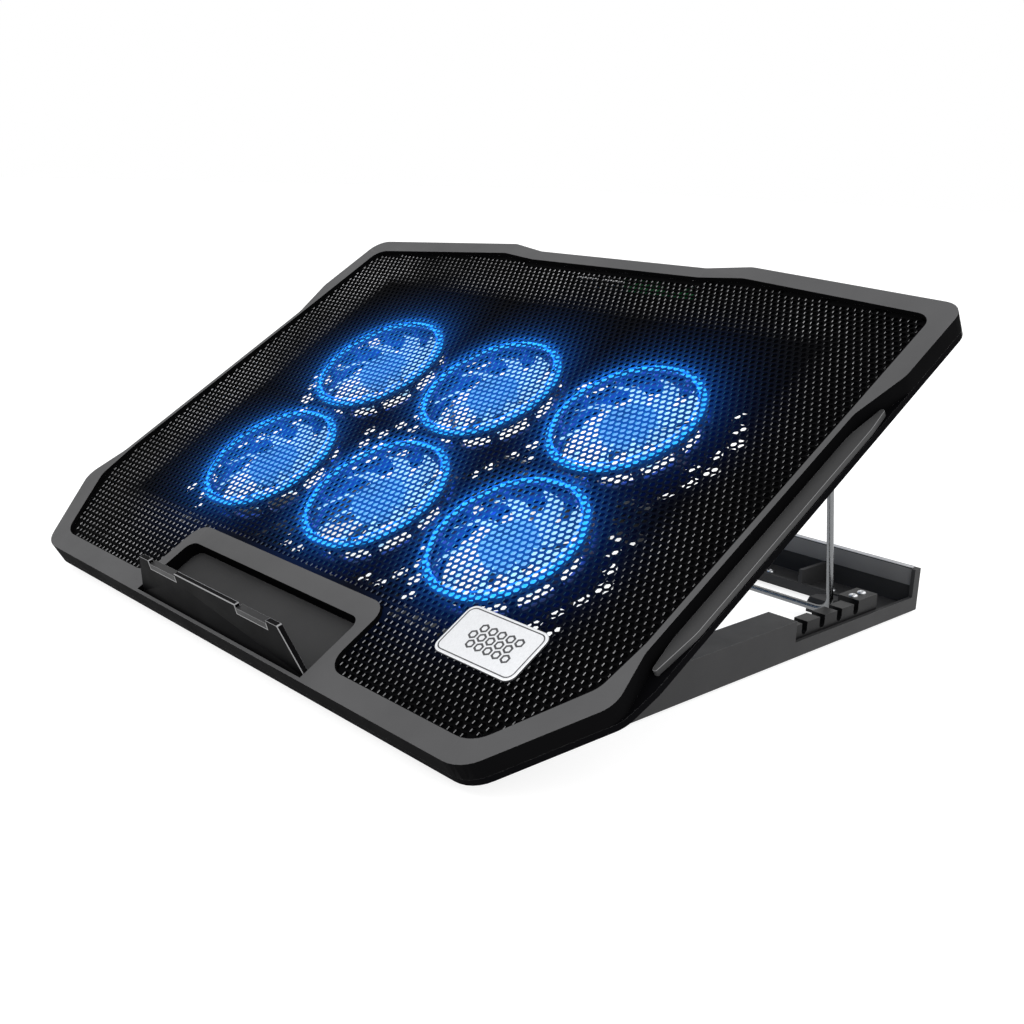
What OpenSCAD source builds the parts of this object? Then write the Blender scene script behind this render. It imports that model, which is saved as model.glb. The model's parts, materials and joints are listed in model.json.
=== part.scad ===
// Laptop cooling pad: a tilting six-fan deck hinged at the front of a flat base.
// The deck is drawn flat (x to the right, y from its front edge to the back,
// z = 0 on the top face) and then set on the hinge at its working tilt.

/* [Deck] */
// Width of the deck
deck_w = 380; // [376:1:384]
// Depth of the deck, front edge to the rear corners
deck_d = 269; // [266:1:272]
// Tilt of the deck above the table, in degrees
tilt = 31.5; // [28:0.5:32]
// Depth of the deck's visible side band
band_h = 11; // [10.6:0.1:11.4]
// Width of the bezel along the front edge
bezel_front = 10; // [9:0.5:11]
// Thickness of the perforated top sheet
mesh_t = 0.8; // [0.6:0.1:1]

/* [Fans] */
// Spacing of the fans across the deck
fan_dx = 85; // [82:1:87]
// Spacing of the two fan rows
fan_dy = 78; // [77:1:80]
// Outer radius of a fan frame
fan_r = 36.5; // [36:0.1:37]
// Number of blades on each rotor
blades = 9; // [7:1:9]
// Pitch of the blades, in degrees
blade_pitch = 24; // [20:1:26]

/* [Stopper] */
// Width of the flip-up laptop stopper
flap_w = 126; // [120:1:128]
// Length of the stopper above its hinge
flap_l = 21.5; // [19:0.5:22.5]
// Angle of the raised stopper to the deck, in degrees
flap_up = 76; // [70:1:80]

/* [Base] */
// Width of the base
base_w = 300; // [298:1:304]
// Y of the back of the base, from the deck's front edge
base_back = 296; // [294:1:298]
// Width of each side arm
arm_w = 15; // [14:0.5:15]
// Height of the side arms above the underside of the base
arm_h = 16.8; // [16:0.1:17]
// Height of the rear wall above the underside of the base
wall_h = 21; // [19:0.5:22]

/* [Prop] */
// Diameter of the steel prop wire
wire_d = 3.2; // [3:0.1:3.4]
// Half of the distance between the prop's legs
leg_x = 132; // [131:0.5:132]
// Y of the prop's foot bar, from the deck's front edge
foot_y = 249; // [247:0.5:250]
// Height of the foot bar's centre above the underside of the base
foot_z = 3.9; // [3.5:0.1:4.5]
// Distance of the prop's pivot from the deck's front edge
pivot_y = 255; // [253:1:256]

/* [Hidden] */
$fn = 64;

half_w = deck_w / 2;
slack = 0.05;                       // radial clearance of every running fit
ground = -12.3;                     // underside of the base, below the deck's front edge
foot_t = 1.2;                       // the rubber feet lift the base off the table

// Levels inside the deck
bezel_t = 2.2;
skirt_z = -8;
mesh_z = -bezel_t;
rim_z = -band_h;
tray_z = -15;
belly_z = -17;
floor_t = 2;

// Deck hinge, in deck coordinates
hinge_y = 32.6;
hinge_z = -20;
hinge_r = 2;
lug_r = 4.4;

// Prop pivot level and the parts around it
pivot_z = -20;

// The tray and the belly under the fans
tray_x = 152;
tray_y1 = 262;
belly_x = 127;
belly_y0 = 56;
belly_y1 = 213;

// Stopper pocket
pocket_x = flap_w / 2 + 1;
pocket_y0 = 1.4;
pocket_y1 = 34;
pocket_z = -6.4;
bump_x = pocket_x + 6;
bump_y = 44;
pin_y = 3.9;
pin_z = -3.9;
flap_t = 2.4;
pin_r = 0.9;

// Foremost point of the raised stopper, and the shift that puts the origin under the
// middle of the box
flap_tip = [pin_y + flap_l * cos(flap_up) - flap_t / 2 * sin(flap_up),
    pin_z + flap_l * sin(flap_up) + flap_t / 2 * cos(flap_up)];
row_y = -(base_back + flap_tip.x * cos(tilt) - flap_tip.y * sin(tilt)) / 2;

bumper_x = [-35, 35];
bumper_w = 22;
bumper_h = 4;

// Sockets and speed wheel in the back edge
port_z = -9;
socket_x = [-12, 5];
socket_w = 13.4;
wheel_x = 40;
wheel_y = 270.4;
wheel_r = 7;

// Screws that hold the housing to the bezel
screw_places = [for (s = [-1, 1], p = [[110, 5], [182, 52], [184.5, 240], [100, 272.6]])
    [s * p.x, p.y]];

fan_y0 = 95.5;
fan_places = [for (j = [0, 1], i = [-1, 0, 1]) [i * fan_dx, fan_y0 + j * fan_dy]];
frame_top = -5;
frame_bottom = belly_z + floor_t;

// Base plan
base_x = base_w / 2;
arm_x = base_x - arm_w;
arm_end = 195;
rim_h = 7;
floor_h = 2.5;
rack_x0 = 141;
rack_x1 = base_x - 2;
rack_y0 = 197;
rack_y1 = 262;
rack_h = 13.6;
rack_screw_y = [rack_y0 + 14, rack_y1 - 14];
screw_x = 145;

// Rounds each corner of outline P by its radius in R
function arc_corner(a, b, c, r, n) =
    let (u = (a - b) / norm(a - b), v = (c - b) / norm(c - b), half = acos(u * v) / 2,
         m = b + (u + v) / norm(u + v) * r / sin(half),
         p = b + u * r / tan(half) - m, q = b + v * r / tan(half) - m,
         from = atan2(p.y, p.x), turn = (atan2(q.y, q.x) - from + 540) % 360 - 180)
    [for (i = [0:n]) m + r * [cos(from + turn * i / n), sin(from + turn * i / n)]];
function rounded(P, R, n = 6) = let (k = len(P))
    [for (i = [0:k - 1]) each R[i] == 0 ? [P[i]]
        : arc_corner(P[(i + k - 1) % k], P[i], P[(i + 1) % k], R[i], n)];
function mirrored(P) = [for (i = [len(P) - 1:-1:0]) [-P[i].x, P[i].y]];
function backwards(R) = [for (i = [len(R) - 1:-1:0]) R[i]];

// Right half of each outline, from the front middle to the back middle, and its corner radii
function shell_half(e) = [[156 - e * 0.6, e], [half_w - 2 - e, 44 + e * 0.2], [half_w - e, 60],
    [half_w - e, deck_d - e * 0.8], [79, deck_d + 11 - e], [55.5, deck_d + 6.6 - e]];
shell_radii = [16, 14, 30, 10, 12, 12];
function bezel_half(e) = [[156 - e * 0.6, e], [half_w - 2 - e, 44 + e * 0.2],
    [half_w - 7 - e, 66], [half_w - 7 - e, 196], [half_w - e, 222 + e * 0.6],
    [half_w - e, deck_d - e * 0.9], [79, deck_d + 11 - e], [55.5, deck_d + 6.6 - e]];
bezel_radii = [16, 12, 16, 16, 14, 10, 12, 12];
function opening_half(e) = [[bump_x - e, bump_y - e], [bump_x - e, bezel_front - e], [152 + e * 0.6, bezel_front - e],
    [178 + e, 47.5], [half_w - 9.5 + e, 70], [half_w - 9.5 + e, deck_d - 9 + e],
    [80, deck_d + 2 + e], [56, deck_d - 1 + e]];
opening_radii = [8, 9, 14, 12, 20, 8, 12, 12];

module outline(half, radii) {
    polygon(rounded(concat(half, mirrored(half)), concat(radii, backwards(radii))));
}

module slab(z0, z1) {
    translate([0, 0, z0]) linear_extrude(z1 - z0) children();
}

module box(x0, x1, y0, y1, z0, z1) {
    translate([x0, y0, z0]) cube([x1 - x0, y1 - y0, z1 - z0]);
}

module both_sides() {
    children();
    mirror([1, 0, 0]) children();
}

module rod_x(x0, x1, y, z, r) {
    translate([x0, y, z]) rotate([0, 90, 0]) cylinder(h = x1 - x0, r = r);
}

// Where the deck's hinge line lies
hinge_world_y = hinge_y * cos(tilt) - hinge_z * sin(tilt);
hinge_world_z = hinge_y * sin(tilt) + hinge_z * cos(tilt);

// Puts a piece drawn in deck coordinates onto the tilted deck
module on_deck() {
    translate([0, row_y, foot_t - ground]) rotate([tilt, 0, 0]) children();
}

// Places a piece drawn with y from the deck's front edge and z from the underside of the base
module on_base() {
    translate([0, row_y, foot_t]) children();
}

// ---------- base ----------

module arm_profile() {
    hy = hinge_world_y;
    hz = hinge_world_z - ground;
    union() {
        translate([hy, hz]) circle(r = lug_r);
        polygon([[hy - lug_r, 0], [arm_end, 0], [arm_end, arm_h], [hy, hz + lug_r],
            [hy - lug_r, hz]]);
    }
}

module base_frame() {
    front0 = 30;
    front1 = 100;
    rear0 = 271;
    wall_t = 3;
    color("#3d3d3f") on_base() difference() {
        union() {
            both_sides() {
                translate([arm_x, 0, 0]) rotate([90, 0, 90]) linear_extrude(arm_w) arm_profile();
                box(base_x - 2, base_x, arm_end, base_back, 0, rim_h);
                box(rack_x0 - 4.4, base_x, arm_end, base_back, 0, floor_h);
                box(base_x - 2, base_x, base_back - wall_t - 2, base_back, 0, wall_h);
            }
            box(-arm_x, arm_x, front0, front1, 0, floor_h);
            box(-base_x, base_x, rear0, base_back, 0, floor_h);
            box(-base_x, base_x, base_back - wall_t, base_back, 0, wall_h);
            box(-arm_x, arm_x, rear0, rear0 + 2, 0, 5);
            both_sides() foot_ledge(rear0);
            for (x = [-100:50:100]) box(x - 1, x + 1, rear0, base_back, 0, 12);
            for (x = [-90:45:90]) box(x - 1, x + 1, front0, front1, 0, 5);
        }
        both_sides() {
            rod_x(arm_x - 1, base_x - 4, hinge_world_y, hinge_world_z - ground, hinge_r);
            for (y = rack_screw_y) translate([screw_x, y, -1]) {
                cylinder(h = 9, r = 1.2);
                cylinder(h = 2, r = 2.3);
            }
        }
    }
}

// Slanted ledge behind the foot bar, which the bar leans on
module foot_ledge(y_back) {
    ledge_h = 7;
    contact = foot_y + wire_d / 2 + slack;
    translate([118, 0, 0]) rotate([90, 0, 90]) linear_extrude(11)
        polygon([[contact, 0], [y_back + 1, 0], [y_back + 1, 4], [contact + 7, ledge_h],
            [contact + 2, ledge_h], [contact, foot_z + 1]]);
}

module notch_rack(s) {
    notch_pitch = 13.5;
    color("#1b1b1c") on_base() scale([s, 1, 1]) difference() {
        union() {
            box(rack_x0, rack_x1, rack_y0, rack_y1, floor_h, rack_h);
            box(rack_x0 - 4, rack_x1, rack_y1 - 16, rack_y1, floor_h, rack_h + 1);
        }
        for (i = [0:3]) translate([0, rack_y0 + 7 + i * notch_pitch, rack_h - 3.4]) {
            rod_x(rack_x0 - 5, rack_x1 + 1, 0, 0, 2);
            box(rack_x0 - 5, rack_x1 + 1, -2, 2, 0, 6);
        }
        for (y = rack_screw_y) translate([screw_x, y, 0]) cylinder(h = 7, r = 1.2);
    }
}

module rack_screws() {
    color("#8d9096") on_base() both_sides() for (y = rack_screw_y)
        translate([screw_x, y, 0.2]) {
            cylinder(h = 6.6, r = 1.2);
            cylinder(h = 0.8, r = 2.3);
        }
}

module rubber_feet() {
    color("#101010") on_base() both_sides() for (y = [60, 180, 285])
        translate([base_x - 8, y, -foot_t]) cylinder(h = foot_t, r = 5);
}

module hinge_pin(s) {
    color("#9a9da2") on_base() scale([s, 1, 1])
        rod_x(arm_x - 9.5, base_x - 4, hinge_world_y, hinge_world_z - ground, hinge_r);
}

// ---------- deck shells ----------

module pocket_shape() {
    polygon(rounded([[-pocket_x, pocket_y0], [pocket_x, pocket_y0], [pocket_x, pocket_y1],
        [-pocket_x, pocket_y1]], [0, 0, 5, 5]));
}

module pocket_shell(t) {
    polygon([[-pocket_x - t, 0.4], [pocket_x + t, 0.4], [pocket_x + t, pocket_y1 + t],
        [-pocket_x - t, pocket_y1 + t]]);
}

// Openings in the back edge for the sockets and the speed wheel
module port_windows() {
    for (x = socket_x) box(x - socket_w / 2, x + socket_w / 2, 261, 280, port_z, port_z + 5.8);
    box(wheel_x - wheel_r - 1, wheel_x + wheel_r + 1, 261, 280, port_z + 1, port_z + 5.4);
}

module top_bezel() {
    skirt_t = 1.6;
    color("#5c5c5e") on_deck() difference() {
        union() {
            slab(-bezel_t, 0) difference() {
                outline(bezel_half(0), bezel_radii);
                outline(opening_half(0), opening_radii);
            }
            slab(skirt_z, -bezel_t) difference() {
                outline(bezel_half(0), bezel_radii);
                outline(bezel_half(skirt_t), bezel_radii);
            }
            slab(pocket_z - 1.4, -bezel_t) pocket_shell(1.6);
            for (p = screw_places) translate([p.x, p.y, skirt_z])
                cylinder(h = -bezel_t - skirt_z, r = 2.6);
        }
        for (p = screw_places) translate([p.x, p.y, skirt_z - 2]) cylinder(h = 6.5, r = 1.2);
        slab(pocket_z, 1) pocket_shape();
        rod_x(-pocket_x - 1, pocket_x + 1, pin_y, pin_z, pin_r);
        port_windows();
    }
}

module mesh_panel() {
    color("#141414") on_deck() slab(mesh_z - mesh_t, mesh_z) difference() {
        outline(opening_half(0.8), opening_radii);
        pocket_shell(1.8);
    }
}

module tray_shape(e) {
    polygon([[-tray_x + e, 9 + e], [tray_x - e, 9 + e], [tray_x - e, tray_y1 - e],
        [-tray_x + e, tray_y1 - e]]);
}

module belly_shape(e) {
    polygon([[-belly_x + e, belly_y0 + e], [belly_x - e, belly_y0 + e],
        [belly_x - e, belly_y1 - e], [-belly_x + e, belly_y1 - e]]);
}

// Honeycomb of vents in the floor round the fans
module hex_vents() {
    pitch = 10;
    for (j = [0:19], i = [-15:15]) {
        v = [(i + 0.5 * (j % 2)) * pitch, 34 + j * pitch * sqrt(3) / 2];
        near = min([for (q = fan_places) norm(v - q)]);
        if (near > fan_r + 4.6 && near < fan_r + 16 && abs(v.x) < tray_x - 9)
            translate([v.x, v.y, belly_z - 1]) cylinder(h = 5, r = 4.6, $fn = 6);
    }
}

module hinge_lug() {
    translate([arm_x - 9, 0, 0]) rotate([90, 0, 90]) linear_extrude(8.4) union() {
        translate([hinge_y, hinge_z]) circle(r = lug_r);
        polygon([[hinge_y - lug_r, hinge_z], [hinge_y + lug_r, hinge_z],
            [hinge_y + lug_r, tray_z + 1], [hinge_y - lug_r, tray_z + 1]]);
    }
}

module bottom_housing() {
    wall = 2;
    color("#161616") on_deck() difference() {
        union() {
            difference() {
                union() {
                    slab(rim_z, skirt_z) outline(shell_half(0), shell_radii);
                    slab(skirt_z, mesh_z - mesh_t) outline(shell_half(10.6), shell_radii);
                    slab(tray_z, rim_z) tray_shape(0);
                    slab(belly_z, tray_z) belly_shape(0);
                }
                slab(rim_z + floor_t, 1) outline(shell_half(12.6), shell_radii);
                slab(tray_z + floor_t, 1) tray_shape(wall);
                slab(belly_z + floor_t, 1) belly_shape(wall);
            }
            both_sides() hinge_lug();
        }
        for (p = fan_places) translate([p.x, p.y, belly_z - 1]) cylinder(h = 6, r = 32);
        slab(-9, 0) pocket_shell(1.7);
        box(-22, 55, 262, 274, port_z, 1);
        port_windows();
        both_sides() rod_x(arm_x - 10, arm_x, hinge_y, hinge_z, hinge_r + slack);
        hex_vents();
        for (p = screw_places) translate([p.x, p.y, rim_z - 1]) {
            cylinder(h = 6, r = 1.3);
            cylinder(h = 2.4, r = 2.6);
        }
    }
}

module wing_strip(s) {
    color("#626264") on_deck() scale([s, 1, 1]) slab(skirt_z, -5.4)
        polygon(rounded([[half_w - 4.2, 58], [half_w - 6.8, 78], [half_w - 6.8, 190],
            [half_w - 2, 213], [half_w - 0.4, 196], [half_w - 0.4, 84]],
            [1, 30, 30, 1, 30, 30]));
}

module nameplate() {
    color("#d4d6d8") on_deck() slab(mesh_z, mesh_z + 0.8)
        polygon(rounded([[103, 36], [145, 36], [145, 60], [103, 60]], [4, 4, 4, 4]));
}

module control_board() {
    color("#1d5a34") on_deck() {
        box(13, 54, 262.4, 273.8, port_z, port_z + 1.4);
        translate([wheel_x, wheel_y, port_z + 1.4]) cylinder(h = 3.6, r = 1.5);
        box(17, 27, 264, 271, port_z + 1.4, port_z + 3);
    }
}

module usb_sockets() {
    color("#b9bcc0") on_deck() for (x = socket_x) {
        difference() {
            box(x - 6.6, x + 6.6, 262, 275.4, port_z, port_z + 5.7);
            box(x - 6.1, x + 6.1, 264, 276, port_z + 0.5, port_z + 5.2);
        }
        box(x - 5.4, x + 5.4, 264, 274.5, port_z + 2.9, port_z + 4.6);
    }
}

module speed_wheel() {
    color("#2a2a2c") on_deck() translate([wheel_x, wheel_y, port_z + 1.6]) difference() {
        cylinder(h = 3.2, r = wheel_r);
        translate([0, 0, -1]) cylinder(h = 6, r = 1.5 + slack);
        for (a = [0:15:345]) rotate(a) translate([wheel_r + 0.2, 0, -1])
            cylinder(h = 6, r = 0.5, $fn = 16);
    }
}

module prop_clip(s) {
    color("#1f1f21") on_deck() scale([s, 1, 1]) difference() {
        box(118, 129, pivot_y - 6, pivot_y + 6, pivot_z - 4, tray_z);
        rod_x(117, 130, pivot_y, pivot_z, wire_d / 2 + slack);
    }
}

module housing_screws() {
    color("#2e2f31") on_deck() for (p = screw_places) translate([p.x, p.y, rim_z]) {
        cylinder(h = 7, r = 1.2);
        cylinder(h = 1.3, r = 2.5);
    }
}

module stopper_pin() {
    color("#9a9da2") on_deck() rod_x(-pocket_x - 1, pocket_x + 1, pin_y, pin_z, pin_r);
}

// ---------- fans ----------

module at_fan(k) {
    on_deck() translate([fan_places[k - 1].x, fan_places[k - 1].y, 0]) children();
}

module fan_frame(k) {
    color("#202022") at_fan(k) union() {
        difference() {
            translate([0, 0, frame_bottom]) cylinder(h = frame_top - frame_bottom, r = fan_r);
            translate([0, 0, frame_bottom - 1]) cylinder(h = 20, r = 33);
            for (i = [0:11]) rotate(30 * i)
                box(30, 40, -7.4, 7.4, frame_bottom + 2, frame_top - 1.6);
        }
        translate([0, 0, frame_bottom]) cylinder(h = 1.6, r = 11);
        for (a = [30, 150, 270]) rotate(a) box(9, 34, -1.5, 1.5, frame_bottom, frame_bottom + 1.6);
    }
}

module fan_motor(k) {
    color("#b07a3a") at_fan(k) translate([0, 0, frame_bottom + 1.6]) difference() {
        cylinder(h = 5, r = 9.5);
        translate([0, 0, 0.6]) cylinder(h = 5, r = 1.5 + slack);
    }
}

module led_ring(k) {
    color("#39b8ff") at_fan(k) translate([0, 0, frame_top]) difference() {
        cylinder(h = 1.3, r = 35.6);
        translate([0, 0, -1]) cylinder(h = 3, r = 32.4);
    }
}

module fan_rotor(k) {
    hub_r = 13;
    hub_top = -6.2;
    blade_l = 18.6;
    blade_w = 12;
    blade_t = 1.2;
    skirt = frame_bottom + 2.6;
    color("#25405f") at_fan(k) union() {
        difference() {
            translate([0, 0, skirt]) cylinder(h = hub_top - skirt, r = hub_r);
            translate([0, 0, skirt - 1]) cylinder(h = hub_top - skirt - 0.4, r = 10.6);
        }
        translate([0, 0, skirt]) cylinder(h = hub_top - skirt - 0.4, r = 1.5);
        for (i = [0:blades - 1]) rotate(i * 360 / blades + 12 * k)
            translate([hub_r - 0.4, 0, skirt + 2.7]) rotate([blade_pitch, 0, 0])
                translate([0, -blade_w / 2, -blade_t / 2]) cube([blade_l, blade_w, blade_t]);
    }
}

// ---------- prop ----------

// The U-shaped wire, drawn in its own plane: x across, y down the legs from the pivot
module wire_prop() {
    bend = 8;
    stub_x = 117.5;
    pivot = [pivot_y * cos(tilt) - pivot_z * sin(tilt), pivot_y * sin(tilt) + pivot_z * cos(tilt)];
    reach = [foot_y, foot_z] - [pivot.x, pivot.y - ground];
    leg = norm(reach);
    lean = atan2(reach.y, reach.x);
    r = wire_d / 2;
    color("#c9ccd1") on_base() translate([0, pivot.x, pivot.y - ground]) rotate([lean, 0, 0]) {
        both_sides() {
            rod_x(stub_x, leg_x - 3, 0, 0, r);
            translate([leg_x - 3, 3, 0]) rotate([0, 0, -90]) quarter_bend(3, r);
            translate([leg_x, 3, 0]) rotate([-90, 0, 0]) cylinder(h = leg - 3 - bend, r = r);
            translate([leg_x - bend, leg - bend, 0]) quarter_bend(bend, r);
        }
        rod_x(-leg_x + bend, leg_x - bend, leg, 0, r);
    }
}

// A quarter turn of wire about the origin, from +x to +y
module quarter_bend(bend_r, r) {
    rotate_extrude(angle = 90) translate([bend_r, 0]) circle(r = r);
}

// ---------- stopper ----------

module at_flap() {
    on_deck() translate([0, pin_y, pin_z]) rotate([flap_up, 0, 0]) children();
}

module stopper_flap() {
    w = flap_w / 2;
    barrel_r = 1.9;
    color("#2b2b2d") at_flap() difference() {
        union() {
            translate([0, 0, -flap_t / 2]) linear_extrude(flap_t) difference() {
                polygon([[-w, 0], [w, 0], [w, 3], [w - 9, flap_l], [-w + 9, flap_l],
                    [-w, 3]]);
                for (x = bumper_x) translate([x - bumper_w / 2, flap_l - bumper_h])
                    square([bumper_w, bumper_h + 1]);
            }
            rod_x(-w, w, 0, 0, barrel_r);
        }
        rod_x(-w - 1, w + 1, 0, 0, pin_r + slack);
    }
}

module flap_bumpers() {
    color("#77797c") at_flap() for (x = bumper_x)
        box(x - bumper_w / 2, x + bumper_w / 2, flap_l - bumper_h, flap_l - 1.4,
            -flap_t / 2 - 1, flap_t / 2);
}

// ---------- the assembly ----------

base_frame();
notch_rack(-1);  // notch_rack_left
notch_rack(1);  // notch_rack_right
rack_screws();
rubber_feet();
hinge_pin(-1);  // hinge_pin_left
hinge_pin(1);  // hinge_pin_right
top_bezel();
mesh_panel();
bottom_housing();
wing_strip(-1);  // wing_strip_left
wing_strip(1);  // wing_strip_right
nameplate();
control_board();
usb_sockets();
speed_wheel();
prop_clip(-1);  // prop_clip_left
prop_clip(1);  // prop_clip_right
housing_screws();
stopper_pin();
fan_frame(1);  // fan_frame_1
fan_frame(2);  // fan_frame_2
fan_frame(3);  // fan_frame_3
fan_frame(4);  // fan_frame_4
fan_frame(5);  // fan_frame_5
fan_frame(6);  // fan_frame_6
fan_motor(1);  // fan_motor_1
fan_motor(2);  // fan_motor_2
fan_motor(3);  // fan_motor_3
fan_motor(4);  // fan_motor_4
fan_motor(5);  // fan_motor_5
fan_motor(6);  // fan_motor_6
led_ring(1);  // led_ring_1
led_ring(2);  // led_ring_2
led_ring(3);  // led_ring_3
led_ring(4);  // led_ring_4
led_ring(5);  // led_ring_5
led_ring(6);  // led_ring_6
fan_rotor(1);  // fan_rotor_1
fan_rotor(2);  // fan_rotor_2
fan_rotor(3);  // fan_rotor_3
fan_rotor(4);  // fan_rotor_4
fan_rotor(5);  // fan_rotor_5
fan_rotor(6);  // fan_rotor_6
wire_prop();
stopper_flap();
flap_bumpers();
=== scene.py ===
import json
import math
import bpy
from mathutils import Matrix, Vector


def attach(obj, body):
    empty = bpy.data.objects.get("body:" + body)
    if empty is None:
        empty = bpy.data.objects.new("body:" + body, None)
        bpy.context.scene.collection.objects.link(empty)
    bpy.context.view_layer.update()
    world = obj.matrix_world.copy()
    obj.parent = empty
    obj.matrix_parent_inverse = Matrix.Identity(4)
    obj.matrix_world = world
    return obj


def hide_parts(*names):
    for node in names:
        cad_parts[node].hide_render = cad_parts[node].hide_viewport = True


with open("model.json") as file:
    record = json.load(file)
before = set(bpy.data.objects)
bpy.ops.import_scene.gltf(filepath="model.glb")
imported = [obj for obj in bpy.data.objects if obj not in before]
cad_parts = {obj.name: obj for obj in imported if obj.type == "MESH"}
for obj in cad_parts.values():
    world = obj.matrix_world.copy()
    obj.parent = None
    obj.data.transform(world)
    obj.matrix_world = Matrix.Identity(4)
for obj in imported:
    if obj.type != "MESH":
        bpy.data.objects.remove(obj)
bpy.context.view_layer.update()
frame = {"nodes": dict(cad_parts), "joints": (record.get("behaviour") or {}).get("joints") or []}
nodes = frame["nodes"]

MM = 0.001
TILT = math.radians(31.5)
FAN_STEP_X, FAN_STEP_Y, FIRST_ROW_Y = 85, 78, 95.5
FANS = [(FAN_STEP_X * i, FIRST_ROW_Y + FAN_STEP_Y * j) for j in (0, 1) for i in (-1, 0, 1)]

# The deck is drawn flat, x to the right, y from its front edge, z = 0 on the top face, in mm.
hinge = next(j for j in frame["joints"] if j["name"] == "panel_tilt")["pos_m"]
to_deck = Matrix.Translation(hinge) @ Matrix.Rotation(TILT, 4, "X") @ Matrix.Translation((0, -0.0326, 0.02))


# ---------- materials ----------

def shader(name):
    m = bpy.data.materials.new(name)
    m.use_nodes = True
    t = m.node_tree
    return m, t, t.nodes["Principled BSDF"]


def link(t, a, b):
    t.links.new(a, b)


def node(t, kind, **values):
    n = t.nodes.new(kind)
    for k, v in values.items():
        setattr(n, k, v)
    return n


def place(t):
    return node(t, "ShaderNodeTexCoord").outputs["Object"]


def ramp(t, source, stops):
    r = node(t, "ShaderNodeValToRGB")
    link(t, source, r.inputs[0])
    while len(r.color_ramp.elements) < len(stops):
        r.color_ramp.elements.new(0.5)
    for e, (pos, col) in zip(r.color_ramp.elements, stops):
        e.position = pos
        e.color = (*col, 1)
    return r.outputs[0]


def noise(t, scale, detail=4.0, rough=0.6):
    n = node(t, "ShaderNodeTexNoise")
    n.inputs["Scale"].default_value = scale
    n.inputs["Detail"].default_value = detail
    n.inputs["Roughness"].default_value = rough
    link(t, place(t), n.inputs["Vector"])
    return n.outputs["Fac"]


def bumpy(t, p, height, strength, distance):
    b = node(t, "ShaderNodeBump")
    b.inputs["Strength"].default_value = strength
    b.inputs["Distance"].default_value = distance
    link(t, height, b.inputs["Height"])
    link(t, b.outputs[0], p.inputs["Normal"])


def moulded(name, colour, rough=0.45, grain=2600, strength=0.25, metallic=0.0, spec=0.5, vary=0.12):
    """Moulded or coated surface: a fine even grain, with slow changes of tone and gloss."""
    m, t, p = shader(name)
    p.inputs["Metallic"].default_value = metallic
    p.inputs["Specular IOR Level"].default_value = spec
    low = tuple(c * (1 - vary) for c in colour)
    high = tuple(c * (1 + vary) for c in colour)
    link(t, ramp(t, noise(t, 14, 5), [(0.3, low), (0.7, high)]), p.inputs["Base Color"])
    link(t, ramp(t, noise(t, 60, 3), [(0.3, (rough - 0.05,) * 3), (0.7, (rough + 0.05,) * 3)]), p.inputs["Roughness"])
    bumpy(t, p, noise(t, grain, 2), strength, 0.0001)
    return m


def brushed(name, colour, rough, stretch=(1, 1, 1)):
    """Drawn or brushed metal with fine lines along one axis."""
    m, t, p = shader(name)
    p.inputs["Metallic"].default_value = 1
    mp = node(t, "ShaderNodeMapping")
    mp.inputs["Scale"].default_value = stretch
    link(t, place(t), mp.inputs["Vector"])
    n = node(t, "ShaderNodeTexNoise")
    n.inputs["Scale"].default_value = 900
    link(t, mp.outputs[0], n.inputs["Vector"])
    link(t, ramp(t, n.outputs["Fac"], [(0.3, tuple(c * 0.85 for c in colour)), (0.7, colour)]), p.inputs["Base Color"])
    link(t, ramp(t, n.outputs["Fac"], [(0.3, (rough,) * 3), (0.7, (rough + 0.12,) * 3)]), p.inputs["Roughness"])
    bumpy(t, p, n.outputs["Fac"], 0.12, 0.00005)
    return m


def math_node(t, op, a, b=None, c=None):
    n = node(t, "ShaderNodeMath", operation=op)
    for i, v in enumerate((a, b, c)):
        if v is None:
            continue
        if isinstance(v, (int, float)):
            n.inputs[i].default_value = v
        else:
            link(t, v, n.inputs[i])
    return n.outputs[0]


def deck_xy(t):
    """Deck coordinates in mm, as two node outputs."""
    mp = node(t, "ShaderNodeMapping", vector_type="POINT")
    flat = to_deck.inverted()
    mp.inputs["Rotation"].default_value = flat.to_euler()
    mp.inputs["Location"].default_value = flat.translation * 1000
    mp.inputs["Scale"].default_value = (1000, 1000, 1000)
    link(t, place(t), mp.inputs["Vector"])
    s = node(t, "ShaderNodeSeparateXYZ")
    link(t, mp.outputs[0], s.inputs[0])
    return s.outputs[0], s.outputs[1]


def fan_radius(t):
    """Distance in mm from the axis of the nearest fan, as a node output."""
    x, y = deck_xy(t)
    column = math_node(t, "ROUND", math_node(t, "DIVIDE", x, FAN_STEP_X))
    near = math_node(t, "MULTIPLY", column, FAN_STEP_X)
    near = math_node(t, "MINIMUM", math_node(t, "MAXIMUM", near, -FAN_STEP_X), FAN_STEP_X)
    between_rows = FIRST_ROW_Y + FAN_STEP_Y / 2
    row = math_node(t, "MULTIPLY", math_node(t, "GREATER_THAN", y, between_rows), FAN_STEP_Y)
    dx = math_node(t, "SUBTRACT", x, near)
    dy = math_node(t, "SUBTRACT", math_node(t, "SUBTRACT", y, FIRST_ROW_Y), row)
    squares = math_node(t, "ADD", math_node(t, "MULTIPLY", dx, dx), math_node(t, "MULTIPLY", dy, dy))
    return math_node(t, "SQRT", squares)


def bell(t, r, middle, width, height):
    """height * exp(-((r - middle) / width)^2)"""
    d = math_node(t, "DIVIDE", math_node(t, "SUBTRACT", r, middle), width)
    falloff = math_node(t, "EXPONENT", math_node(t, "MULTIPLY", math_node(t, "MULTIPLY", d, d), -1))
    return math_node(t, "MULTIPLY", falloff, height)


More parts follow.
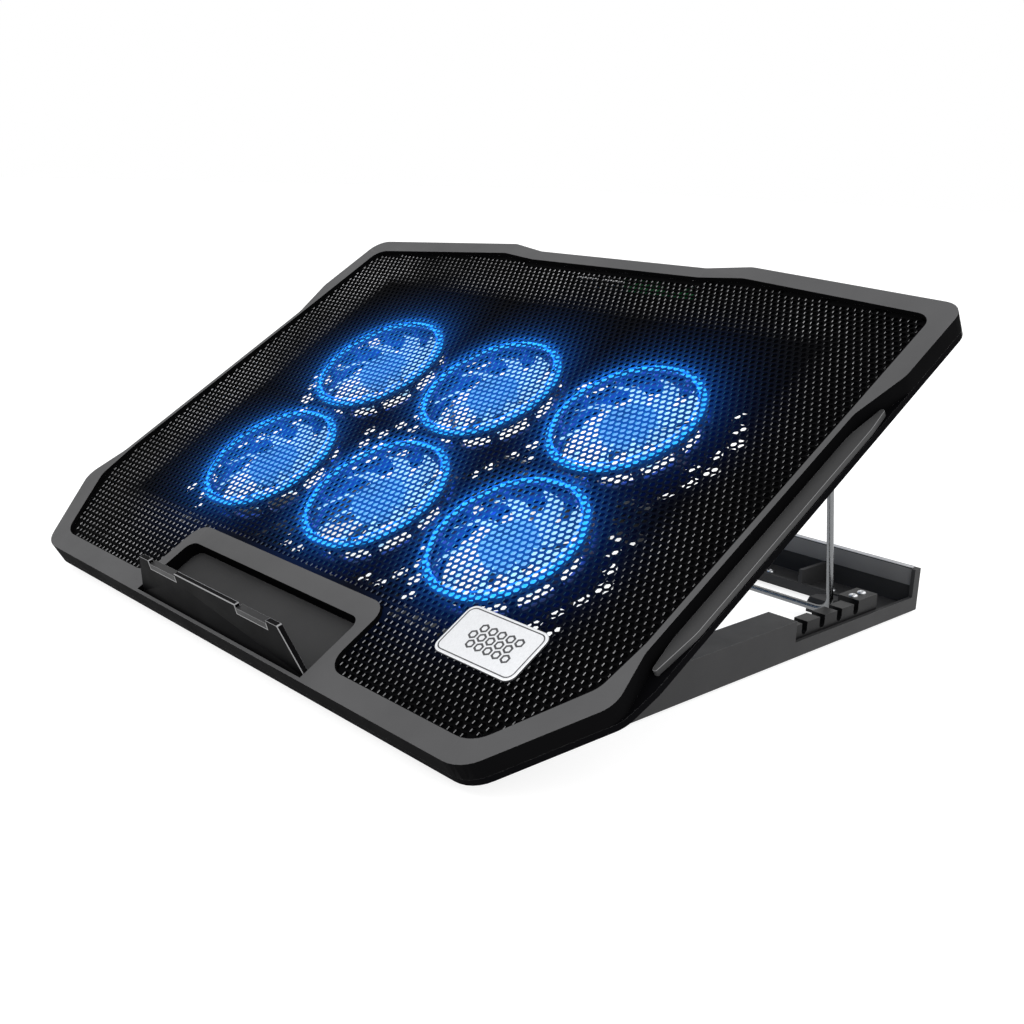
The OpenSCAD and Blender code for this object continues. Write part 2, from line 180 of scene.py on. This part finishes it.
def lit_by_fans(m, terms, colour):
    """Adds the fans' blue light to a material, by distance from the nearest fan axis."""
    t = m.node_tree
    p = t.nodes["Principled BSDF"]
    r = fan_radius(t)
    total = 0.0
    for middle, width, height in terms:
        total = math_node(t, "ADD", bell(t, r, middle, width, height), total)
    p.inputs["Emission Color"].default_value = (*colour, 1)
    link(t, total, p.inputs["Emission Strength"])


def paint_tray_shade(m, dark, half=148, front=46, back=240, fade=5):
    """Painted shade: darkens a material over the fan tray, where the tray under the sheet lies in shade, and keeps its
    own tone in the sheet's outer margin.
    """
    t = m.node_tree
    p = t.nodes["Principled BSDF"]
    own = p.inputs["Base Color"].links[0].from_socket
    x, y = deck_xy(t)
    sideways = math_node(t, "SUBTRACT", math_node(t, "ABSOLUTE", x), half)
    beyond = math_node(t, "MAXIMUM", sideways, math_node(t, "SUBTRACT", y, back))
    beyond = math_node(t, "MAXIMUM", beyond, math_node(t, "SUBTRACT", front, y))
    share = node(t, "ShaderNodeMapRange")
    share.inputs["From Min"].default_value = -fade
    share.inputs["From Max"].default_value = fade
    link(t, beyond, share.inputs["Value"])
    mix = node(t, "ShaderNodeMix", data_type="RGBA")
    link(t, share.outputs[0], mix.inputs["Factor"])
    mix.inputs["A"].default_value = (*dark, 1)
    link(t, own, mix.inputs["B"])
    link(t, mix.outputs["Result"], p.inputs["Base Color"])


def glowing(name, colour, strength, base=(0.01, 0.08, 0.4)):
    m, t, p = shader(name)
    p.inputs["Roughness"].default_value = 0.3
    link(t, ramp(t, noise(t, 90, 3), [(0.3, base), (0.7, tuple(c * 1.4 for c in base))]), p.inputs["Base Color"])
    p.inputs["Emission Color"].default_value = (*colour, 1)
    e = ramp(t, noise(t, 45, 2), [(0.3, (strength * 0.8,) * 3), (0.7, (strength * 1.1,) * 3)])
    link(t, e, p.inputs["Emission Strength"])
    bumpy(t, p, noise(t, 1500, 2), 0.1, 0.0001)
    return m


MAT = {
    "bezel": moulded("bezel_grey", (0.076, 0.076, 0.078), 0.5, strength=0.3, spec=0.09),
    # band: black on the bezel's upright faces; on the pocket's walls this black is painted shade.
    "band": moulded("band_black", (0.003, 0.003, 0.0033), 0.55, strength=0.2, spec=0.004),
    # pocket: darker grey on the pocket's floor, painted shade of the recess.
    "pocket": moulded("pocket_painted_shade", (0.04, 0.04, 0.041), 0.5, strength=0.3, spec=0.06),
    "wing": moulded("wing_grey", (0.05, 0.05, 0.051), 0.5, strength=0.3, spec=0.08),
    # housing, under and rear are one black plastic in three tones by facing: the near-black inside and sides are
    # painted shade, the lighter underside and rear faces are painted light.
    "housing": moulded("housing_black", (0.0025, 0.0025, 0.003), 0.55, spec=0.004),
    "under": moulded("underside_black", (0.018, 0.018, 0.019), 0.5, strength=0.3, spec=0.08),
    "rear": moulded("rear_edge_black", (0.008, 0.008, 0.0085), 0.45, strength=0.25, spec=0.04),
    "base": moulded("base_grey", (0.032, 0.032, 0.033), 0.5, strength=0.3, spec=0.1),
    "black": moulded("satin_black", (0.003, 0.003, 0.0035), 0.35, spec=0.12),
    "stopper": moulded("stopper_black", (0.003, 0.003, 0.0033), 0.5, strength=0.2, spec=0.02),
    "pad": moulded("bumper_grey", (0.014, 0.014, 0.015), 0.4, grain=1500, spec=0.15),
    "rubber": moulded("rubber_black", (0.01, 0.01, 0.01), 0.75, grain=900, strength=0.4, spec=0.2),
    "sheet": moulded("mesh_black", (0.0015, 0.0015, 0.0017), 0.6, grain=1800, strength=0.15, spec=0.01),
    # hole: pale material on two walls of each hole, a painted glint.
    "hole": moulded("mesh_hole_painted_glint", (0.5, 0.5, 0.51), 0.35, grain=1800, strength=0.1, vary=0.8, spec=0.2),
    # edge and dark_edge: lighter, glossier materials on the bevel faces, a painted highlight along the edges.
    "edge": moulded("edge_painted_highlight", (0.22, 0.22, 0.225), 0.3, strength=0.2, spec=0.4),
    "dark_edge": moulded("dark_edge_painted_highlight", (0.09, 0.09, 0.092), 0.3, strength=0.2, spec=0.4),
    "frame": moulded("fan_frame_blue_black", (0.008, 0.012, 0.03), 0.4, spec=0.3),
    "motor": brushed("motor_copper", (0.5, 0.25, 0.1), 0.35, (1, 1, 8)),
    "board": moulded("board_green", (0.01, 0.1, 0.03), 0.35, grain=700),
    "steel": brushed("steel_satin", (0.62, 0.63, 0.65), 0.25, (1, 6, 6)),
    "socket": brushed("socket_plated", (0.66, 0.67, 0.69), 0.2, (1, 6, 1)),
    "wire": brushed("wire_steel", (0.2, 0.205, 0.21), 0.2, (6, 6, 1)),
    # wall_band and bead: painted light on the rear wall's inner face and painted highlights along its top.
    "wall_band": moulded("wall_band_painted_light", (0.14, 0.14, 0.142), 0.4, strength=0.2, spec=0.3),
    "bead": moulded("wall_painted_highlight_bead", (0.72, 0.72, 0.73), 0.3, strength=0.1, spec=0.5),
    "plate": brushed("plate_silver", (0.74, 0.75, 0.77), 0.3, (8, 1, 1)),
    "plate_dark": brushed("plate_engraved", (0.09, 0.09, 0.095), 0.35, (8, 1, 1)),
    "ring": glowing("light_guide_blue", (0.02, 0.42, 1.0), 1.5),
    # blade and hub glow blue: painted light from the fans' light guides, since these parts are not lamps.
    "blade": glowing("blade_blue", (0.5, 0.84, 1.0), 1.0, (0.05, 0.2, 0.45)),
    "hub": glowing("hub_blue", (0.16, 0.5, 1.0), 1.05, (0.01, 0.03, 0.2)),
}
# Painted shade: the hole walls' glint is darkened over the fan tray and kept in the sheet's outer margin.
paint_tray_shade(MAT["hole"], (0.012, 0.012, 0.013))
# Each term is (radius in mm, width in mm, strength): the guide's line, its rim, haze, the lit disc, spill
lit_by_fans(MAT["sheet"], [(32.7, 0.5, 1.3), (35.6, 1.4, 0.3), (37, 6, 0.06), (12, 19, 0.5), (34, 22, 0.04)],
            (0.009, 0.19, 0.98))
lit_by_fans(MAT["hole"], [(32.7, 0.8, 1.4), (35.6, 2.0, 0.4), (14, 19, 0.7), (34, 22, 0.08)],
            (0.03, 0.42, 1.0))
lit_by_fans(MAT["housing"], [(36, 12, 0.05)], (0.004, 0.08, 0.8))
lit_by_fans(MAT["under"], [(34, 8, 0.05)], (0.004, 0.08, 0.8))
lit_by_fans(MAT["frame"], [(30.5, 3.2, 0.9)], (0.002, 0.1, 1.0))

LOOK = {
    "base_frame": "base", "notch_rack": "black", "rack_screws": "steel", "rubber_feet": "rubber",
    "hinge_pin": "steel", "top_bezel": "bezel", "bottom_housing": "housing", "wing_strip": "wing",
    "control_board": "board", "usb_sockets": "socket", "speed_wheel": "black", "prop_clip": "black",
    "housing_screws": "steel", "stopper_pin": "steel", "fan_frame": "frame", "fan_motor": "motor",
    "led_ring": "ring", "fan_rotor": "blade", "wire_prop": "wire", "stopper_flap": "stopper",
    "flap_bumpers": "pad", "mesh_panel": "sheet", "nameplate": "plate",
}
FACING = Vector((0, -math.sin(TILT), math.cos(TILT)))
FLAT = to_deck.inverted()


def paint_faces(o, rule):
    """Gives each face the material that the rule names for its facing and depth; None keeps the first one."""
    slots = {}
    for f in o.data.polygons:
        key = rule(f.normal, (FLAT @ f.center) / MM)
        if key:
            if key not in slots:
                slots[key] = len(o.data.materials)
                o.data.materials.append(MAT[key])
            f.material_index = slots[key]


def bezel_faces(normal, place):
    """Grey on the deck's top face; a darker grey on the pocket's floor, painted shade of the recess; black on all
    upright faces, which on the pocket's walls is painted shade.
    """
    if normal.dot(FACING) < 0.5:
        return "band"
    return "pocket" if place.z < -1 else None


def housing_faces(normal, place):
    """Lit and shaded copies of one black plastic, by facing: near black inside and along the sides, painted shade; a
    little lighter below and behind, painted light.
    """
    if normal.dot(FACING) < -0.5:
        return "under"
    return "rear" if normal.y > 0.3 else None


SOFT_EDGE = {
    "base_frame": 0.35, "notch_rack": 0.3, "top_bezel": 0.4, "bottom_housing": 0.3, "wing_strip": 0.35,
    "stopper_flap": 0.35, "flap_bumpers": 0.3, "prop_clip": 0.6,
}
# Bevel faces of these parts get a lighter material: a painted highlight along the edges.
EDGE = {
    "top_bezel": "edge", "wing_strip": "edge", "base_frame": "dark_edge", "stopper_flap": "edge",
    "bottom_housing": "dark_edge", "notch_rack": "dark_edge", "flap_bumpers": "edge",
}
for name, o in nodes.items():
    kind = next(k for k in LOOK if name.startswith(k))
    o.data.materials.clear()
    o.data.materials.append(MAT[LOOK[kind]])
    if kind in SOFT_EDGE:
        w = o.modifiers.new("weld", "WELD")
        w.merge_threshold = 1e-5
        b = o.modifiers.new("edge", "BEVEL")
        b.width = SOFT_EDGE[kind] * MM
        b.segments = 2
        b.limit_method = "ANGLE"
        b.angle_limit = math.radians(50)
        b.use_clamp_overlap = True
        b.harden_normals = True
        if kind in EDGE:
            o.data.materials.append(MAT[EDGE[kind]])
            b.material = 1
    if kind == "top_bezel":
        paint_faces(o, bezel_faces)
    if kind == "bottom_housing":
        paint_faces(o, housing_faces)


# ---------- building ----------

def make(name, verts, faces, mat, body, smooth=False, flat=True):
    """A mesh piece. With flat, its points are deck points in mm; otherwise row points in metres."""
    me = bpy.data.meshes.new(name)
    pts = [to_deck @ (Vector(v) * MM) for v in verts] if flat else [Vector(v) for v in verts]
    me.from_pydata(pts, [], faces)
    me.validate()
    me.polygons.foreach_set("use_smooth", [smooth] * len(me.polygons))
    me.materials.append(MAT[mat])
    o = bpy.data.objects.new(name, me)
    bpy.context.scene.collection.objects.link(o)
    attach(o, body)
    return o


def bevel(o, width, segments=2, angle=40):
    b = o.modifiers.new("edge", "BEVEL")
    b.width = width * MM
    b.segments = segments
    b.limit_method = "ANGLE"
    b.angle_limit = math.radians(angle)
    return o


def arc_corner(a, b, c, r, n=6):
    a, b, c = Vector(a), Vector(b), Vector(c)
    if r == 0:
        return [b]
    u, v = (a - b).normalized(), (c - b).normalized()
    half = math.acos(max(-1, min(1, u.dot(v)))) / 2
    m = b + (u + v).normalized() * (r / math.sin(half))
    p, q = b + u * (r / math.tan(half)) - m, b + v * (r / math.tan(half)) - m
    start = math.atan2(p.y, p.x)
    turn = (math.atan2(q.y, q.x) - start + 3 * math.pi) % (2 * math.pi) - math.pi
    return [m + r * Vector((math.cos(start + turn * i / n), math.sin(start + turn * i / n))) for i in range(n + 1)]


def rounded(points, radii):
    k = len(points)
    out = []
    for i in range(k):
        out += arc_corner(points[i - 1], points[i], points[(i + 1) % k], radii[i])
    return out


def opening(e):
    """The edge of the perforated sheet, e mm outside the bezel's opening."""
    half = [(70 - e, 44 - e), (70 - e, 10 - e), (152 + e * 0.6, 10 - e), (178 + e, 47.5),
            (180.5 + e, 70), (180.5 + e, 260 + e), (80, 271 + e), (56, 268 + e)]
    radii = [8, 9, 14, 12, 20, 8, 12, 12]
    mirrored = [(-x, y) for x, y in reversed(half)]
    return rounded(half + mirrored, radii + radii[::-1])


def inside(p, poly):
    hit = False
    j = len(poly) - 1
    for i in range(len(poly)):
        a, b = poly[i], poly[j]
        crosses = (a.y > p.y) != (b.y > p.y)
        if crosses and p.x < (b.x - a.x) * (p.y - a.y) / (b.y - a.y) + a.x:
            hit = not hit
        j = i
    return hit


def nearest(p, poly):
    best, where = 1e9, p
    for i in range(len(poly)):
        a, b = poly[i - 1], poly[i]
        ab = b - a
        f = max(0, min(1, (p - a).dot(ab) / ab.length_squared)) if ab.length_squared else 0
        q = a + ab * f
        d = (p - q).length_squared
        if d < best:
            best, where = d, q
    return where, math.sqrt(best)


def perforated_sheet():
    """Sheet of hexagonal cells, each with a hole through it, trimmed to the opening's outline.

    The two walls of each hole that face left and right get a pale material, a painted glint.
    """
    pitch, hole, top, under = 3.5, 1.42, -2.2, -2.7
    edge = opening(0.7)
    verts, faces, walls, corner_at, moved = [], [], [], {}, {}

    def corner(x, y):
        key = (round(x * 4), round(y * 4))
        if key not in corner_at:
            p = Vector((x, y))
            keep = inside(p, edge)
            moved[key] = not keep
            if not keep:
                p, _ = nearest(p, edge)
            corner_at[key] = len(verts)
            verts.append((p.x, p.y, top))
        return key

    reach = pitch / math.sqrt(3)
    for j in range(108):
        y = 3 + j * pitch * math.sqrt(3) / 2
        for i in range(-62, 63):
            x = (i + 0.5 * (j % 2)) * pitch
            c = Vector((x, y))
            if abs(x) > 184 or y > 274 or not inside(c, edge):
                continue
            turns = [math.radians(60 * k) for k in range(6)]
            keys = [corner(x + reach * math.sin(a), y + reach * math.cos(a)) for a in turns]
            ring = [corner_at[k] for k in keys][::-1]
            if any(moved[k] for k in keys) or nearest(c, edge)[1] < 2.3:
                faces.append(tuple(ring))
                continue
            first = len(verts)
            for level in (top, under):
                for v in ring:
                    d = (Vector(verts[v][:2]) - c).normalized() * hole
                    verts.append((x + d.x, y + d.y, level))
            for k in range(6):
                n = (k + 1) % 6
                faces.append((ring[k], ring[n], first + n, first + k))
                # These two walls per hole take the pale material: a painted glint.
                if k % 3 == 0:
                    walls.append(len(faces))
                faces.append((first + k, first + n, first + 6 + n, first + 6 + k))
    o = make("perforated_sheet", verts, faces, "sheet", "deck")
    o.data.materials.append(MAT["hole"])
    for w in walls:
        o.data.polygons[w].material_index = 1
    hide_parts("mesh_panel")


def revolve(name, profile, centre, mat, body, n=64, closed=False, smooth=True):
    """A turned piece: profile is (radius, z) pairs round the fan's axis."""
    verts, faces = [], []
    for i in range(n):
        a = 2 * math.pi * i / n
        verts += [(centre[0] + r * math.cos(a), centre[1] + r * math.sin(a), z) for r, z in profile]
    m = len(profile)
    last = m if closed else m - 1
    for i in range(n):
        for k in range(last):
            a, b = i * m + k, i * m + (k + 1) % m
            c, d = ((i + 1) % n) * m + (k + 1) % m, ((i + 1) % n) * m + k
            faces.append((a, d, c, b))
    return make(name, verts, faces, mat, body, smooth=smooth)


def rotor(k, centre):
    """Hub and nine swept, cambered blades."""
    profile = [(0.01, -6.2), (9.5, -6.2), (11.8, -6.5), (12.7, -7.3), (13, -8.6),
               (13, -12.4), (11, -12.4), (11, -8.0), (0.01, -8.0)]
    hub = revolve(f"rotor_hub_{k}", profile, centre, "hub", f"rotor_{k}", 48)
    verts, faces = [], []
    steps, across = 10, 6
    for b in range(9):
        base = len(verts)
        turn = 2 * math.pi * b / 9 + 0.21 * k
        for i in range(steps + 1):
            f = i / steps
            r = 12.6 + f * 18.6
            sweep = 0.34 * f * f
            chord = math.radians(9.5 + 1.5 * f)
            for j in range(across + 1):
                g = j / across - 0.5
                a = turn + sweep + g * 2 * chord * (1 - 0.25 * f)
                rise = -g * (5.0 - 1.4 * f) + 0.9 * (0.25 - g * g) * 2
                verts.append((centre[0] + r * math.cos(a), centre[1] + r * math.sin(a), -9.8 - rise * 0.9))
        for i in range(steps):
            for j in range(across):
                a = base + i * (across + 1) + j
                faces.append((a, a + 1, a + across + 2, a + across + 1))
    blades = make(f"rotor_blades_{k}", verts, faces, "blade", f"rotor_{k}", smooth=True)
    s = blades.modifiers.new("thick", "SOLIDIFY")
    s.thickness = 0.9 * MM
    s.offset = 0
    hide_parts(f"fan_rotor_{k}")


def light_guide(k, centre):
    turns = [math.radians(a) for a in range(0, 360, 30)]
    ring = [(34.0 + 1.55 * math.cos(a), -4.35 + 0.62 * math.sin(a)) for a in turns]
    o = revolve(f"light_guide_{k}", ring, centre, "ring", "deck", 96, closed=True)
    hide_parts(f"led_ring_{k}")


def badge():
    """Plain plate with a raised rim and a cluster of embossed hexagons in place of any marking."""
    plate = rounded([(103, 36), (145, 36), (145, 60), (103, 60)], [4] * 4)
    n = len(plate)
    verts = [(p.x, p.y, z) for z in (-2.2, -1.3) for p in plate]
    faces = [tuple(range(n, 2 * n))]
    faces += [(i, (i + 1) % n, n + (i + 1) % n, n + i) for i in range(n)]
    body = bevel(make("badge_plate", verts, faces, "plate", "deck"), 0.35, 3)
    inner = rounded([(104.6, 37.6), (143.4, 37.6), (143.4, 58.4), (104.6, 58.4)], [2.8] * 4)
    outer = rounded([(104.1, 37.1), (143.9, 37.1), (143.9, 58.9), (104.1, 58.9)], [3.2] * 4)
    verts = [(p.x, p.y, -1.28) for p in outer] + [(p.x, p.y, -1.28) for p in inner]
    m = len(outer)
    faces = [(i, (i + 1) % m, m + (i + 1) % m, m + i) for i in range(m)]
    make("badge_line", verts, faces, "plate_dark", "deck")
    verts, faces = [], []
    places = [(124 + 4.6 * i + 2.3 * (j % 2), 48 + 4.0 * j) for j in (-1, 0, 1) for i in (-2, -1, 0, 1, 2)]
    for x, y in places:
        first = len(verts)
        for r in (2.2, 1.25):
            turns = [math.radians(60 * k) for k in range(6)]
            verts += [(x + r * math.sin(a), y + r * math.cos(a), -1.27) for a in turns]
        faces += [(first + k, first + 6 + k, first + 6 + (k + 1) % 6, first + (k + 1) % 6) for k in range(6)]
    make("badge_hexes", verts, faces, "plate_dark", "deck")
    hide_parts("nameplate")


def base_details():
    """Pale beads along the rear wall, painted highlights on its top; a lighter band inside it, painted light on the
    wall's inner face; and screw heads on the rear tray and racks.
    """
    wall_y, top = 0.1488, 0.0222

    def bars(name, spans, mat):
        verts, faces = [], []
        for lo, hi in spans:
            n = len(verts)
            corners = ((lo[0], lo[1]), (hi[0], lo[1]), (hi[0], hi[1]), (lo[0], hi[1]))
            verts += [(x, y, z) for z in (lo[2], hi[2]) for x, y in corners]
            faces += [(n, n + 3, n + 2, n + 1), (n + 4, n + 5, n + 6, n + 7)]
            faces += [(n + i, n + (i + 1) % 4, n + 4 + (i + 1) % 4, n + 4 + i) for i in range(4)]
        return bevel(make(name, verts, faces, mat, "base", flat=False), 0.12)

    low, high = top - 0.0002, top + 0.0005
    # Two pale beads along the wall's top: painted highlights.
    bars("rear_wall_painted_highlight_beads", [((-0.1475, wall_y - 0.0010, low), (0.1475, wall_y - 0.0003, high)),
                             ((-0.1475, wall_y - 0.0028, low), (0.1475, wall_y - 0.0021, high))], "bead")
    # A lighter band on the wall's inner face: painted light.
    bars("rear_wall_painted_light_band", [((-0.1475, wall_y - 0.0034, 0.0135), (0.1475, wall_y - 0.0029, 0.0216))],
         "wall_band")

    def heads(name, spots, body):
        verts, faces = [], []
        profile = [(2.1, 0.0), (2.0, 0.5), (1.4, 0.8), (0.75, 0.85), (0.6, 0.35)]
        for x, y, z in spots:
            n = len(verts)
            for i in range(20):
                a = math.pi * i / 10
                verts += [(x + q * MM * math.cos(a), y + q * MM * math.sin(a), z + h * MM) for q, h in profile]
            for i in range(20):
                for k in range(4):
                    p, q = n + i * 5 + k, n + ((i + 1) % 20) * 5 + k
                    faces.append((p, q, q + 1, p + 1))
            faces.append(tuple(n + i * 5 + 4 for i in range(20)))
        make(name, verts, faces, "steel", body, smooth=True, flat=False)

    sides = (-1, 1)
    heads("tray_screw_heads", [(s * x, wall_y - 0.014, 0.0037) for s in sides for x in (0.0125, 0.075, 0.112)],
          "base")
    heads("rack_screw_heads", [(s * 0.1425, wall_y - y, 0.0158) for s in sides for y in (0.0385, 0.0455)],
          "base")


base_details()
perforated_sheet()
for k, c in enumerate(FANS, 1):
    rotor(k, c)
    light_guide(k, c)
badge()

# ---------- floor, light, camera ----------

def studio():
    """Pale floor, partly self-lit so that what is seen through the vents stays pale, and soft lamps."""
    me = bpy.data.meshes.new("floor")
    me.from_pydata([(-9, -9, 0), (9, -9, 0), (9, 9, 0), (-9, 9, 0)], [], [(0, 1, 2, 3)])
    m, t, p = shader("floor_white")
    link(t, ramp(t, noise(t, 3, 2), [(0.3, (0.36, 0.36, 0.36)), (0.7, (0.38, 0.38, 0.38))]), p.inputs["Base Color"])
    p.inputs["Roughness"].default_value = 0.8
    p.inputs["Emission Color"].default_value = (1, 1, 1, 1)
    p.inputs["Emission Strength"].default_value = 0.8
    me.materials.append(m)
    floor = bpy.data.objects.new("floor", me)
    bpy.context.scene.collection.objects.link(floor)
    bpy.context.scene.view_settings.view_transform = "Standard"
    world = bpy.data.worlds.new("studio")
    bpy.context.scene.world = world
    world.use_nodes = True
    back = world.node_tree.nodes["Background"]
    back.inputs[0].default_value = (1, 1, 1, 1)
    back.inputs[1].default_value = 1.0
    lamps = [("key", (-0.5, -0.9, 1.5), 1.2, 9), ("rim", (0.6, 1.3, 1.1), 1.0, 8), ("side", (1.6, -0.2, 0.9), 0.9, 4)]
    for name, pos, size, power in lamps:
        lamp = bpy.data.lights.new(name, "AREA")
        lamp.size = size
        lamp.energy = power
        o = bpy.data.objects.new(name, lamp)
        o.location = pos
        o.rotation_euler = (Vector((0, 0, 0.05)) - Vector(pos)).to_track_quat("-Z", "Y").to_euler()
        bpy.context.scene.collection.objects.link(o)


def camera():
    cam = bpy.data.cameras.new("camera")
    cam.lens = 44.07
    cam.sensor_width = 36
    cam.clip_start = 0.01
    cam.clip_end = 50
    o = bpy.data.objects.new("camera", cam)
    look = Vector((-0.69968, 0.66372, -0.26443)).normalized()
    right = look.cross(Vector((0, 0, 1))).normalized()
    up = right.cross(look)
    roll = math.radians(2.09)
    right, up = right * math.cos(roll) + up * math.sin(roll), up * math.cos(roll) - right * math.sin(roll)
    m = Matrix((right, up, -look)).transposed().to_4x4()
    m.translation = (0.43046, -0.3877, 0.19965)
    o.matrix_world = m
    bpy.context.scene.collection.objects.link(o)
    bpy.context.scene.camera = o


studio()
camera()
